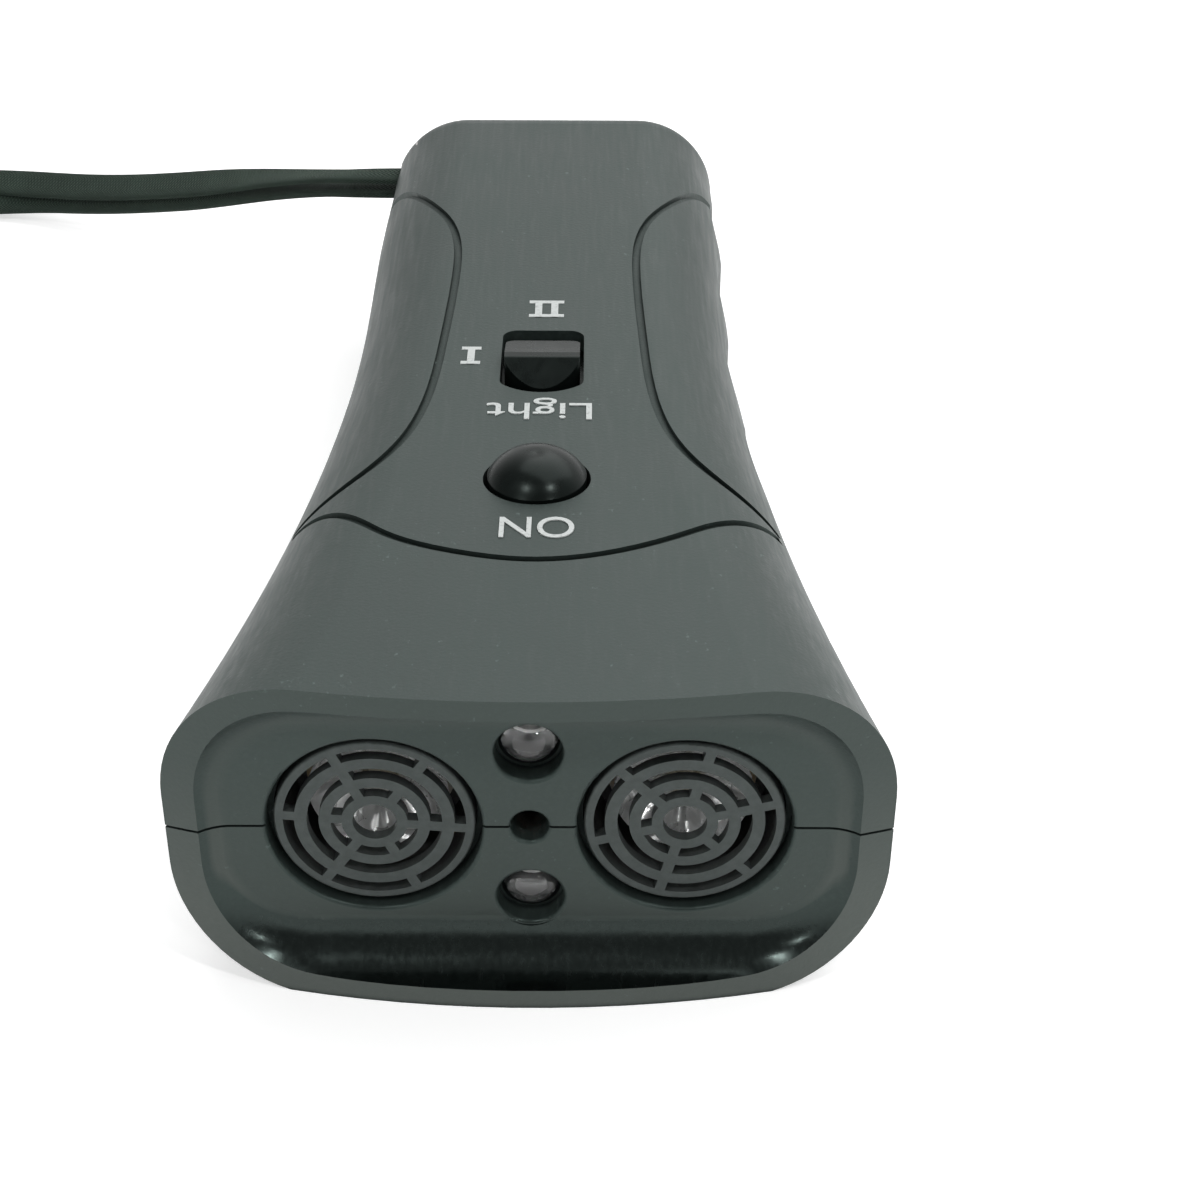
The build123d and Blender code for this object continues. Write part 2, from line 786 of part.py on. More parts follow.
with BuildPart() as chip_legs:
    with BuildSketch(Plane.XY.offset(board_bottom)):
        with Locations((5.5, chip_y)):
            with GridLocations(7.4, 2.54, 2, 4):
                Rectangle(1.0, 0.5)
    extrude(amount=-2.4)
save(chip_legs, "chip_legs")

with BuildPart() as transistors:
    with BuildSketch(Plane.XY.offset(board_bottom)):
        with Locations((-6, -9), (-6, -2)):
            Circle(2.3)
            with Locations((0, -2.6)):
                Rectangle(5, 2.4, mode=Mode.SUBTRACT)
    extrude(amount=-4.8)
save(transistors, "transistors")

with BuildPart() as resistors:
    for y in (-41.0, -38.0, -35.0):
        with BuildSketch(Plane.YZ.offset(-11)):
            with Locations((y, board_bottom - 1.2)):
                Circle(1.15)
        extrude(amount=6.3)
save(resistors, "resistors")

# ---------------------------------------------------------------- battery, its snap and leads

battery_middle = (0, (battery_front + battery_rear) / 2, (battery_bottom + battery_top) / 2)
snap_height = battery_middle[2]
with BuildPart() as battery:
    with Locations(battery_middle):
        Box(battery_width, battery_length, battery_height)
    fillet(battery.edges().filter_by(Axis.Y), battery_rounding)
save(battery, "battery")

stud_radius = 2.85
ring_radius = 4.3
snap_fit = 0.15
snap_reach = 3.2
plate_y = battery_front - snap_reach


def snap_pair(plane, reach, stud_x):
    """One solid stud at stud_x and one socket ring at -stud_x, standing out of a plane."""
    with BuildPart() as pair:
        with BuildSketch(plane):
            with Locations((stud_x, snap_height)):
                Circle(stud_radius)
            with Locations((-stud_x, snap_height)):
                Circle(ring_radius)
                Circle(stud_radius + snap_fit, mode=Mode.SUBTRACT)
        extrude(amount=reach)
    return pair


save(snap_pair(facing(battery_front), snap_reach - 0.1, -snap_spacing / 2), "battery_terminals")
save(snap_pair(facing(plate_y), -(snap_reach - 0.1), snap_spacing / 2), "connector_snaps")

plate_thickness = 2.4
with BuildPart() as snap_connector:
    with BuildSketch(facing(plate_y)):
        with Locations((0, snap_height)):
            RectangleRounded(25.4, 12.5, 3.0)
    extrude(amount=plate_thickness)
save(snap_connector, "snap_connector")


def wire(route, corners, radius):
    """A round wire along a route of straight runs joined by arcs."""
    with BuildPart() as strand:
        with BuildLine() as path:
            FilletPolyline(*route, radius=corners)
        with BuildSketch(Plane(origin=path.line @ 0, z_dir=path.line % 0)):
            Circle(radius)
        sweep()
    return strand


lead_y = plate_y - plate_thickness
for label, x in (("red_lead", 3.0), ("black_lead", -3.0)):
    route = [(x, lead_y, snap_height + 3), (x, lead_y - 3.6, snap_height + 3), (x, lead_y - 3.6, board_bottom)]
    save(wire(route, 1.6, 0.65), label)

pins_end = case_rear + 3.5
with BuildPart() as speaker_leads:
    for x in (*[speaker_places[0] + dx for dx in (-2.5, 2.5)], *[speaker_places[1] + dx for dx in (-2.5, 2.5)]):
        lead = wire(
            [(x, pins_end, seam_height), (x, pins_end + 3, seam_height), (x, pins_end + 3, board_bottom)],
            1.0,
            0.5,
        )
        add(lead.part)
save(speaker_leads, "speaker_leads")

# ---------------------------------------------------------------- screws


def screw(places, seat, head_radius, head_height, shank_radius, length):
    """Pan-head screws driven upwards: the head hangs below the seat and has a cross recess."""
    with BuildPart() as screws:
        with BuildSketch(Plane.XY.offset(seat)):
            with Locations(*places):
                Circle(head_radius)
        extrude(amount=-head_height)
        with BuildSketch(Plane.XY.offset(seat)):
            with Locations(*places):
                Circle(shank_radius)
        extrude(amount=length)
        with BuildSketch(Plane.XY.offset(seat - head_height)):
            with Locations(*places):
                Rectangle(1.3 * head_radius, 0.3 * head_radius)
                Rectangle(0.3 * head_radius, 1.3 * head_radius)
        extrude(amount=0.5 * head_height, mode=Mode.SUBTRACT)
    return screws


save(
    screw(case_screw_places, screw_seat, screw_head_radius, screw_head_height, screw_radius, screw_length),
    "case_screws",
)
save(screw(board_screw_places, board_bottom, board_screw_head, 1.2, board_screw_radius, 5.5), "board_screws")

# ---------------------------------------------------------------- wrist strap

with BuildPart() as lanyard_pin:
    with BuildSketch(Plane.XY.offset(pin_bottom)):
        with Locations((-pin_x, strap_y)):
            Circle(pin_radius)
    extrude(amount=pin_top - pin_bottom - 0.1)
save(lanyard_pin, "lanyard_pin")

# The bight of the strap goes round the pin and meets both strands in the slot.
bight_face = -pin_x - 2.2
with BuildPart() as strap_bight:
    with BuildSketch(Plane.XY.offset(strap_height - slot_height / 2 + 0.4)):
        with Locations((-pin_x, strap_y)):
            Circle(2.1)
            Rectangle(2.2, 3.2, align=(Align.MAX, Align.CENTER))
            Circle(pin_radius + 0.05, mode=Mode.SUBTRACT)
    extrude(amount=slot_height - 0.8)
save(strap_bight, "strap_bight")

upper_strand = strap_height + strand_spacing / 2
lower_strand = strap_height - strand_spacing / 2
strap_route = [
    (bight_face, strap_y, upper_strand),
    (-23.5, strap_y, upper_strand),
    (-31.0, 65.5, 19.0),
    (-41.0, 73.5, 14.9),
    (-52.0, 81.0, 10.6),
    (-64.0, 88.5, 6.6),
    (-76.5, 95.5, 4.0),
    (-89.0, 101.5, 2.4),
    (-102.0, 108.0, 1.3),
    (-117.0, 111.5, 1.0),
    (-131.0, 108.0, 1.0),
    (-139.5, 97.0, 1.0),
    (-138.5, 83.0, 1.0),
    (-128.0, 74.5, 1.0),
    (-113.5, 74.5, 1.0),
    (-100.5, 81.0, 1.0),
    (-88.0, 87.5, 1.0),
    (-75.5, 91.0, 1.6),
    (-63.5, 86.8, 4.0),
    (-52.0, 80.5, 8.2),
    (-41.0, 73.3, 12.7),
    (-31.0, 65.3, 16.8),
    (-23.5, strap_y, lower_strand),
    (bight_face, strap_y, lower_strand),
]


def corner_radii(route):
    """At each corner, 0.45 of the shorter run over the tangent of half the turn."""
    points = [Vector(point) for point in route]
    radii = []
    for before, here, after in zip(points, points[1:], points[2:]):
        shorter = min((here - before).length, (after - here).length)
        turn = (here - before).get_angle(after - here)
        half_turn = Vector(1, 0).rotate(Axis.Z, turn / 2)
        radii.append(0.45 * shorter * half_turn.X / half_turn.Y)
    return radii


strap_radii = corner_radii(strap_route)
wrist_strap = wire(strap_route, strap_radii, strap_tube / 2)
save(wrist_strap, "wrist_strap")
strap_length = sum((Vector(b) - Vector(a)).length for a, b in zip(strap_route, strap_route[1:]))
print("strap corner radii", [round(radius, 1) for radius in strap_radii])
print("strap route length", round(strap_length, 1), "tube volume", round(wrist_strap.part.volume, 1))
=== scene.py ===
import math

import bmesh
import bpy
import numpy as np
from bpy.props import FloatProperty, FloatVectorProperty, PointerProperty
from bpy.types import Operator, Panel, PropertyGroup
from mathutils import Matrix, Vector


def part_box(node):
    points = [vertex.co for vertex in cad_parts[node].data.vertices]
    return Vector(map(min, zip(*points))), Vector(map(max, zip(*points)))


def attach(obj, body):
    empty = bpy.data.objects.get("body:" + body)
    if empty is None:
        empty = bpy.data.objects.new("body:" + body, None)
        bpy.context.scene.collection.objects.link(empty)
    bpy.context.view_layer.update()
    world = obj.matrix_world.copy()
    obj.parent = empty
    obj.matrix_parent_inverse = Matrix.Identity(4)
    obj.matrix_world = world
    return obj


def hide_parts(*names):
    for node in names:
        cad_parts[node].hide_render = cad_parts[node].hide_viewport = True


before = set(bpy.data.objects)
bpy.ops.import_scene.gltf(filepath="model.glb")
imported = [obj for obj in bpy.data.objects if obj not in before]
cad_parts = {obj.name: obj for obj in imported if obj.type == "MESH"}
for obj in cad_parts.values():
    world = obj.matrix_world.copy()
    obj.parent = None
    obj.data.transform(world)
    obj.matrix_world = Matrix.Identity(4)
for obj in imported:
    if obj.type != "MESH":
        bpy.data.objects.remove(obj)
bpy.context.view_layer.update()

bl_info = {
    "name": "Ultrasonic pest repeller",
    "version": (1, 0, 0),
    "blender": (4, 5, 0),
    "location": "View3D > Sidebar > Repeller",
    "description": "Finishes, lamps, cones, legends and wrist strap for the hand-held repeller",
    "category": "Object",
}

MM = 0.001


# ---------------------------------------------------------------- what a user would change

def length_property(name, description, default):
    return FloatProperty(name=name, description=description, default=default, unit="LENGTH", precision=5)


def colour_property(name, description, default):
    return FloatVectorProperty(name=name, description=description, default=default,
                               size=3, min=0.0, max=1.0, subtype="COLOR")


def factor_property(name, description, default):
    return FloatProperty(name=name, description=description, default=default,
                         min=0.0, max=1.0, subtype="FACTOR")


class ShellLook(PropertyGroup):
    plastic: colour_property("Plastic", "Colour of the moulded housing", (0.017, 0.024, 0.022))
    worn: colour_property("Worn plastic", "Colour of the rubbed and dusty places", (0.040, 0.053, 0.049))
    roughness: factor_property("Roughness", "Roughness of the satin skin", 0.44)
    grain: length_property("Grain", "Size of the fine moulded grain", 0.35 * MM)
    # painted light: the lip's edge is painted paler for the light it catches, most low down
    lip_painted_light: colour_property("Lip painted light", "Colour of the lip's edge low down", (0.066, 0.072, 0.066))
    legend: colour_property("Legend", "Colour of the printed words", (0.58, 0.61, 0.60))


class FaceLook(PropertyGroup):
    grille: colour_property("Grille", "Colour of the slotted discs", (0.033, 0.037, 0.036))
    metal: colour_property("Cone metal", "Colour of the thin cones", (0.93, 0.94, 0.93))
    stain: colour_property("Cone stain", "Colour of the lacquer at the middle of a cone", (0.34, 0.29, 0.19))
    flute: length_property("Flute depth", "Depth of the ripples pressed into a cone", 0.10 * MM)
    lens: colour_property("Lens", "Colour of the lamps' epoxy", (0.97, 0.98, 0.98))


class StrapLook(PropertyGroup):
    width: length_property("Width", "Width of the woven strap", 4.4 * MM)
    thickness: length_property("Thickness", "Thickness of the woven strap", 0.85 * MM)
    yarn: colour_property("Yarn", "Colour of the warp", (0.008, 0.016, 0.011))
    weft: colour_property("Weft", "Colour of the weft that shows between", (0.022, 0.038, 0.028))


class StudioLook(PropertyGroup):
    floor: colour_property("Floor", "Colour of the floor", (0.90, 0.90, 0.90))
    glow: FloatProperty(name="Glow", description="How much paler the floor is to the camera", default=0.45)
    key: FloatProperty(name="Key", description="Power of the overhead softbox", default=5.0, unit="POWER")
    sky: FloatProperty(name="Sky", description="Strength of the soft light all round", default=0.75)
    room: FloatProperty(name="Room", description="Brightness above the front, next to the white sweep",
                        default=0.25)
    glint: FloatProperty(name="Glint", description="Power of each of the two upper small lamps",
                         default=1.0, unit="POWER")


# ---------------------------------------------------------------- finishes

class Finish:
    """A material under construction: one Principled shader, fed by patterns on Object coordinates."""

    def __init__(self, name, **constants):
        self.material = bpy.data.materials.new(name)
        self.material.use_nodes = True
        self.nodes = self.material.node_tree.nodes
        self.links = self.material.node_tree.links
        self.shader = self.nodes["Principled BSDF"]
        self.surface = None
        self.place = self.nodes.new("ShaderNodeTexCoord").outputs["Object"]
        for socket, value in constants.items():
            self.shader.inputs[socket.replace("_", " ")].default_value = value

    def feed(self, node, **values):
        for socket, value in values.items():
            target = node.inputs[socket.replace("_", " ")]
            if isinstance(value, bpy.types.NodeSocket):
                self.links.new(value, target)
            else:
                target.default_value = value
        return node

    def stretched(self, scale, centre=(0.0, 0.0, 0.0), place=None):
        """Coordinates centred on a point and scaled on each axis."""
        node = self.nodes.new("ShaderNodeMapping")
        node.vector_type = "POINT"
        shift = [-c * s for c, s in zip(centre, scale)]
        self.feed(node, Vector=place or self.place, Location=shift, Scale=scale)
        return node.outputs["Vector"]

    def noise(self, size, detail=2.0, stretch=(1.0, 1.0, 1.0), distortion=0.0, place=None):
        """Noise whose patches are about size metres across, longer on the axes where stretch is over 1."""
        node = self.nodes.new("ShaderNodeTexNoise")
        vector = self.stretched([1.0 / (size * s) for s in stretch], place=place)
        self.feed(node, Vector=vector, Scale=1.0, Detail=detail, Distortion=distortion)
        return node.outputs["Fac"]

    def bands(self, size, axis, place=None):
        """Even bands across one axis, size metres from one to the next."""
        node = self.nodes.new("ShaderNodeTexWave")
        node.bands_direction = axis
        node.wave_profile = "SIN"
        # the wave texture repeats every pi / 10 of its coordinate
        self.feed(node, Vector=place or self.place, Scale=math.pi / 10 / size)
        return node.outputs["Fac"]

    def between(self, factor, low, high, start=0.0, end=1.0):
        """The factor's range from start to end, clamped and carried to low and high."""
        node = self.nodes.new("ShaderNodeMapRange")
        self.feed(node, Value=factor, From_Min=start, From_Max=end, To_Min=low, To_Max=high)
        return node.outputs["Result"]

    def maths(self, operation, first, second=0.0):
        node = self.nodes.new("ShaderNodeMath")
        node.operation = operation
        for socket, value in zip(node.inputs, (first, second)):
            if isinstance(value, bpy.types.NodeSocket):
                self.links.new(value, socket)
            else:
                socket.default_value = value
        return node.outputs["Value"]

    def mixed(self, factor, first, second):
        """A colour from first to second as factor goes from 0 to 1."""
        node = self.nodes.new("ShaderNodeMix")
        node.data_type = "RGBA"
        sockets = (node.inputs["Factor"], *[s for s in node.inputs if s.type == "RGBA"])
        for socket, value in zip(sockets, (factor, first, second)):
            if isinstance(value, bpy.types.NodeSocket):
                self.links.new(value, socket)
            else:
                socket.default_value = value if isinstance(value, float) else (*value, 1.0)
        return next(s for s in node.outputs if s.type == "RGBA")

    def part_of(self, axis, place=None):
        node = self.nodes.new("ShaderNodeSeparateXYZ")
        self.links.new(place or self.place, node.inputs[0])
        return node.outputs[axis]

    def normal_part(self, axis):
        """How far the surface faces along one axis, from -1 to 1."""
        return self.part_of(axis, self.nodes.new("ShaderNodeNewGeometry").outputs["Normal"])

    def colour(self, value):
        self.links.new(value, self.shader.inputs["Base Color"])
        return self

    def rough(self, value):
        self.links.new(value, self.shader.inputs["Roughness"])
        return self

    def relief(self, height, depth):
        """A bump whose height from 0 to 1 stands for depth metres, laid over any earlier one."""
        node = self.nodes.new("ShaderNodeBump")
        self.feed(node, Height=height, Distance=depth)
        if self.surface:
            self.links.new(self.surface, node.inputs["Normal"])
        self.surface = node.outputs["Normal"]
        self.links.new(self.surface, self.shader.inputs["Normal"])
        return self


def tint(colour, factor):
    return tuple(min(1.0, channel * factor) for channel in colour)


def housing_finish(look):
    """Satin moulded plastic: fine grain, lengthwise streaks, faint cloudiness, pale worn specks and dust.
    The bottom of the front recess is made glossier and painted near black as painted shade, the edge of the lip
    round it is painted paler as painted light, most low down, and grooves and crevices are darkened as painted
    shade."""
    finish = Finish("black_plastic", Specular_IOR_Level=0.5)
    finish.shader.inputs["Specular Tint"].default_value = (0.80, 1.0, 0.94, 1.0)
    front = finish.between(finish.part_of("Y"), 1.0, 0.0, -60.45 * MM, -60.30 * MM)
    ahead = finish.between(finish.normal_part("Y"), 1.0, 0.0, -0.93, -0.88)
    upright = finish.between(finish.normal_part("Z"), 1.0, 0.0, 0.06, 0.14)
    lip = finish.maths("MULTIPLY", front, finish.maths("MULTIPLY", ahead, upright))
    low = finish.between(finish.part_of("Z"), 1.0, 0.0, 5.0 * MM, 9.0 * MM)
    recess = finish.between(finish.part_of("Y"), 1.0, 0.0, -60.30 * MM, -60.0 * MM)
    polish_and_painted_shade = finish.maths("MULTIPLY", low, recess)
    polish_and_painted_shade = finish.maths("MULTIPLY", polish_and_painted_shade, finish.maths("SUBTRACT", 1.0, lip))
    cloud = finish.noise(14 * MM, detail=3.0)
    streak = finish.noise(0.5 * MM, detail=3.0, stretch=(1.0, 18.0, 1.0))
    grain = finish.noise(look.grain, detail=2.0)
    speck = finish.noise(0.55 * MM, detail=4.0, stretch=(1.0, 1.6, 1.0))
    dust = finish.between(speck, 0.0, 1.0, 0.66, 0.74)
    patch = finish.between(finish.noise(9 * MM), 0.0, 1.0, 0.50, 0.66)
    outside_polish_and_shade = finish.maths("SUBTRACT", 1.0, polish_and_painted_shade)
    dust = finish.maths("MULTIPLY", finish.maths("MULTIPLY", dust, patch), outside_polish_and_shade)
    base = finish.mixed(finish.between(cloud, 0.0, 0.35, 0.35, 0.7), look.plastic, look.worn)
    base = finish.mixed(finish.between(streak, 0.0, 0.40, 0.45, 0.75), base, look.worn)
    # painted shade: the bottom of the front recess is painted near black here; its lower roughness further down
    # is real gloss
    base = finish.mixed(polish_and_painted_shade, base, tint(look.plastic, 0.06))
    # painted light: the forward-facing edge of the lip is painted paler, most low down, for the light that falls
    # on it
    height = finish.between(finish.part_of("Z"), 1.0, 0.25, 8.0 * MM, 24.0 * MM)
    base = finish.mixed(finish.maths("MULTIPLY", lip, height), base, look.lip_painted_light)
    # painted shade: ambient occlusion darkens the colour in grooves and crevices, and also roughens them below
    crevice = finish.nodes.new("ShaderNodeAmbientOcclusion")
    crevice.samples = 8
    crevice.inputs["Distance"].default_value = 0.8 * MM
    sunk = finish.between(crevice.outputs["AO"], 1.0, 0.0, 0.45, 0.85)
    base = finish.mixed(sunk, base, tint(look.plastic, 0.2))
    finish.colour(finish.mixed(finish.maths("MULTIPLY", dust, 0.55), base, tint(look.worn, 3.0)))
    wear = finish.between(streak, look.roughness - 0.04, look.roughness + 0.07, 0.3, 0.7)
    wear = finish.maths("ADD", wear, finish.between(cloud, -0.03, 0.04, 0.3, 0.7))
    wear = finish.maths("ADD", wear, finish.maths("MULTIPLY", sunk, 0.35))
    finish.rough(finish.maths("SUBTRACT", wear, finish.maths("MULTIPLY", polish_and_painted_shade, 0.22)))
    finish.relief(finish.maths("MULTIPLY", streak, outside_polish_and_shade), 0.005 * MM)
    return finish.relief(finish.maths("MULTIPLY", grain, outside_polish_and_shade), 0.024 * MM).material


def gloss_finish(look):
    """Glossy moulded plastic with fine hairlines and finger marks."""
    finish = Finish("gloss_black", Specular_IOR_Level=0.22)
    finish.shader.inputs["Specular Tint"].default_value = (0.85, 1.0, 0.95, 1.0)
    smear = finish.noise(3.5 * MM, detail=3.0, distortion=1.0)
    hairline = finish.noise(0.12 * MM, detail=2.0, stretch=(14.0, 1.0, 1.0))
    dull = finish.between(smear, 0.0, 0.5, 0.4, 0.7)
    finish.colour(finish.mixed(dull, tint(look.plastic, 0.20), tint(look.plastic, 0.45)))
    finish.rough(finish.between(smear, 0.24, 0.34, 0.35, 0.7))
    return finish.relief(hairline, 0.002 * MM).material


def grille_finish(look):
    """Satin plastic with a mottled skin where the slots were cut."""
    finish = Finish("grille_plastic", Specular_IOR_Level=0.5)
    finish.shader.inputs["Specular Tint"].default_value = (0.85, 1.0, 0.96, 1.0)
    mottle = finish.noise(0.9 * MM, detail=3.0)
    grain = finish.noise(0.25 * MM, detail=2.0)
    pale = finish.between(mottle, 0.0, 0.6, 0.4, 0.7)
    finish.colour(finish.mixed(pale, look.grille, tint(look.grille, 2.0)))
    finish.rough(finish.between(mottle, 0.38, 0.52, 0.35, 0.65))
    return finish.relief(grain, 0.02 * MM).material


def cone_finish(look, centre, radius):
    """Thin bright metal with creases, and dried lacquer round the middle."""
    finish = Finish("cone_metal", Metallic=0.5, Specular_IOR_Level=0.8)
    near = finish.stretched((1 / radius, 0.0, 1 / radius), centre=centre)
    length = finish.nodes.new("ShaderNodeVectorMath")
    length.operation = "LENGTH"
    finish.links.new(near, length.inputs[0])
    crease = finish.noise(1.3 * MM, detail=2.0, distortion=1.2)
    ring = finish.maths("ADD", length.outputs["Value"], finish.between(crease, -0.12, 0.12, 0.3, 0.7))
    lacquer = finish.between(ring, 1.0, 0.0, 0.22, 0.42)
    dull = finish.mixed(finish.between(crease, 0.0, 0.4, 0.4, 0.65), look.metal, tint(look.metal, 0.75))
    finish.colour(finish.mixed(finish.maths("MULTIPLY", lacquer, 0.85), dull, look.stain))
    finish.rough(finish.between(crease, 0.24, 0.38, 0.35, 0.65))
    return finish.relief(crease, 0.05 * MM).material


def lens_finish(look):
    """Clear epoxy, a little cloudy and swirled."""
    finish = Finish("lamp_epoxy", Transmission_Weight=0.94, IOR=1.50)
    swirl = finish.noise(1.6 * MM, detail=2.0, distortion=1.0)
    finish.colour(finish.mixed(swirl, look.lens, tint(look.lens, 0.93)))
    finish.rough(finish.between(swirl, 0.0, 0.03, 0.35, 0.65))
    return finish.relief(swirl, 0.01 * MM).material


def printed_finish(look):
    """White screen-printing ink, a little thin and worn in places."""
    finish = Finish("printed_ink", Specular_IOR_Level=0.3)
    thin = finish.noise(0.35 * MM, detail=3.0)
    worn = finish.between(thin, 0.0, 0.6, 0.55, 0.75)
    finish.colour(finish.mixed(worn, look.legend, tint(look.legend, 0.45)))
    finish.rough(finish.between(thin, 0.5, 0.7, 0.3, 0.7))
    return finish.relief(thin, 0.01 * MM).material


def webbing_finish(look):
    """Woven tape: warp ribs along it and weft picks across it, from the piece's own UV map in metres."""
    finish = Finish("webbing", Sheen_Weight=0.15, Sheen_Roughness=0.5, Specular_IOR_Level=0.25)
    finish.shader.inputs["Sheen Tint"].default_value = (0.45, 0.60, 0.50, 1.0)
    uv = finish.nodes.new("ShaderNodeUVMap")
    uv.uv_map = "tape"
    place = uv.outputs["UV"]
    rib = finish.bands(0.42 * MM, "Y", place=place)
    pick = finish.bands(0.55 * MM, "X", place=place)
    checker = finish.maths("ABSOLUTE", finish.maths("SUBTRACT", rib, pick))
    fuzz = finish.noise(0.12 * MM, detail=2.0)
    patch = finish.noise(5 * MM, detail=2.0)
    base = finish.mixed(checker, look.yarn, look.weft)
    finish.colour(finish.mixed(finish.between(patch, 0.0, 0.4, 0.4, 0.7), base, tint(look.weft, 1.3)))
    finish.rough(finish.between(fuzz, 0.75, 0.95, 0.3, 0.7))
    finish.relief(checker, 0.12 * MM)
    return finish.relief(fuzz, 0.04 * MM).material


# The finishes of the pieces inside and underneath, by the record's material slot: main colour, second colour,
# roughness, metallic, patch size (m), bump depth (m), and the patch's stretch on each axis.
INNER_FINISHES = {
    "red_epoxy": ((0.42, 0.012, 0.010), (0.26, 0.006, 0.006), 0.12, 0.0, 1.2 * MM, 0.01 * MM, (1, 1, 1)),
    "aluminium": ((0.80, 0.81, 0.80), (0.55, 0.56, 0.55), 0.30, 1.0, 0.7 * MM, 0.03 * MM, (1, 1, 1)),
    "ceramic": ((0.62, 0.60, 0.53), (0.70, 0.52, 0.24), 0.55, 0.0, 2.2 * MM, 0.02 * MM, (1, 1, 1)),
    "tinned_steel": ((0.66, 0.66, 0.65), (0.46, 0.46, 0.45), 0.32, 1.0, 0.5 * MM, 0.02 * MM, (1, 5, 1)),
    "screw_steel": ((0.48, 0.48, 0.47), (0.30, 0.29, 0.28), 0.34, 1.0, 0.8 * MM, 0.02 * MM, (1, 1, 1)),
    "board_laminate": ((0.016, 0.110, 0.045), (0.030, 0.190, 0.070), 0.32, 0.0, 1.4 * MM, 0.03 * MM, (1, 3, 1)),
    "ferrite": ((0.045, 0.043, 0.042), (0.085, 0.080, 0.076), 0.70, 0.0, 0.5 * MM, 0.04 * MM, (1, 1, 1)),
    "copper_winding": ((0.62, 0.26, 0.10), (0.36, 0.13, 0.05), 0.30, 1.0, 0.25 * MM, 0.10 * MM, (8, 8, 1)),
    "black_epoxy": ((0.020, 0.021, 0.021), (0.045, 0.046, 0.046), 0.48, 0.0, 0.6 * MM, 0.03 * MM, (1, 1, 1)),
    "capacitor_sleeve": ((0.015, 0.024, 0.070), (0.030, 0.045, 0.110), 0.30, 0.0, 1.5 * MM, 0.02 * MM, (1, 1, 2)),
    "resistor_lacquer": ((0.55, 0.42, 0.26), (0.66, 0.52, 0.34), 0.38, 0.0, 0.6 * MM, 0.02 * MM, (1, 1, 1)),
    "battery_can": ((0.060, 0.064, 0.070), (0.120, 0.125, 0.135), 0.26, 1.0, 1.0 * MM, 0.02 * MM, (1, 12, 1)),
    "nickel": ((0.70, 0.68, 0.63), (0.50, 0.48, 0.44), 0.26, 1.0, 0.6 * MM, 0.02 * MM, (1, 1, 1)),
    "black_vinyl": ((0.018, 0.018, 0.019), (0.036, 0.036, 0.037), 0.50, 0.0, 1.1 * MM, 0.05 * MM, (1, 1, 1)),
    "red_insulation": ((0.42, 0.018, 0.014), (0.30, 0.012, 0.010), 0.42, 0.0, 0.5 * MM, 0.02 * MM, (1, 1, 1)),
    "black_insulation": ((0.020, 0.020, 0.020), (0.040, 0.040, 0.040), 0.42, 0.0, 0.5 * MM, 0.02 * MM, (1, 1, 1)),
    "white_insulation": ((0.70, 0.69, 0.66), (0.55, 0.54, 0.50), 0.42, 0.0, 0.5 * MM, 0.02 * MM, (1, 1, 1)),
}


def inner_finish(name):
    """A finish of two colours in patches, with uneven gloss and a fine relief."""
    main, second, roughness, metallic, patch, depth, stretch = INNER_FINISHES[name]
    finish = Finish(name, Metallic=metallic)
    mottle = finish.noise(patch, detail=3.0, stretch=stretch)
    finish.colour(finish.mixed(finish.between(mottle, 0.0, 1.0, 0.38, 0.68), main, second))
    finish.rough(finish.between(mottle, roughness - 0.06, roughness + 0.12, 0.3, 0.7))
    return finish.relief(mottle, depth).material


# ---------------------------------------------------------------- surfaces

def grid_faces(rows, columns, rows_close, columns_close):
    """Quads of a grid of points, joined round in either direction, as whole arrays of corner numbers."""
    down = np.arange(rows if rows_close else rows - 1)
    along = np.arange(columns if columns_close else columns - 1)
    row, column = np.meshgrid(down, along, indexing="ij")
    next_row, next_column = (row + 1) % rows, (column + 1) % columns
    corners = [row * columns + column, row * columns + next_column,
               next_row * columns + next_column, next_row * columns + column]
    return np.stack(corners, axis=-1).reshape(-1, 4)


def surface_mesh(name, points, faces, uv=None):
    """A mesh from arrays of points and of quads, its poles merged and its faces turned outwards."""
    mesh = bpy.data.meshes.new(name)
    mesh.from_pydata(points.reshape(-1, 3).tolist(), [], faces.tolist())
    if uv is not None:
        layer = mesh.uv_layers.new(name="tape")
        layer.data.foreach_set("uv", uv.astype(np.float32).ravel())
    work = bmesh.new()
    work.from_mesh(mesh)
    bmesh.ops.remove_doubles(work, verts=work.verts, dist=1e-7)
    bmesh.ops.recalc_face_normals(work, faces=work.faces)
    work.to_mesh(mesh)
    work.free()
    mesh.polygons.foreach_set("use_smooth", np.ones(len(mesh.polygons), bool))
    mesh.set_sharp_from_angle(angle=math.radians(35))
    return mesh


def piece(name, mesh, material, body, slot, *nodes):
    """An object at the origin for the mesh, with its finish and body; the CAD nodes it stands for are hidden. The
    slot is not used.
    """
    mesh.materials.append(material)
    made = bpy.data.objects.new(name, mesh)
    bpy.context.scene.collection.objects.link(made)
    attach(made, body)
    if nodes:
        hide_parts(*nodes)
    return made


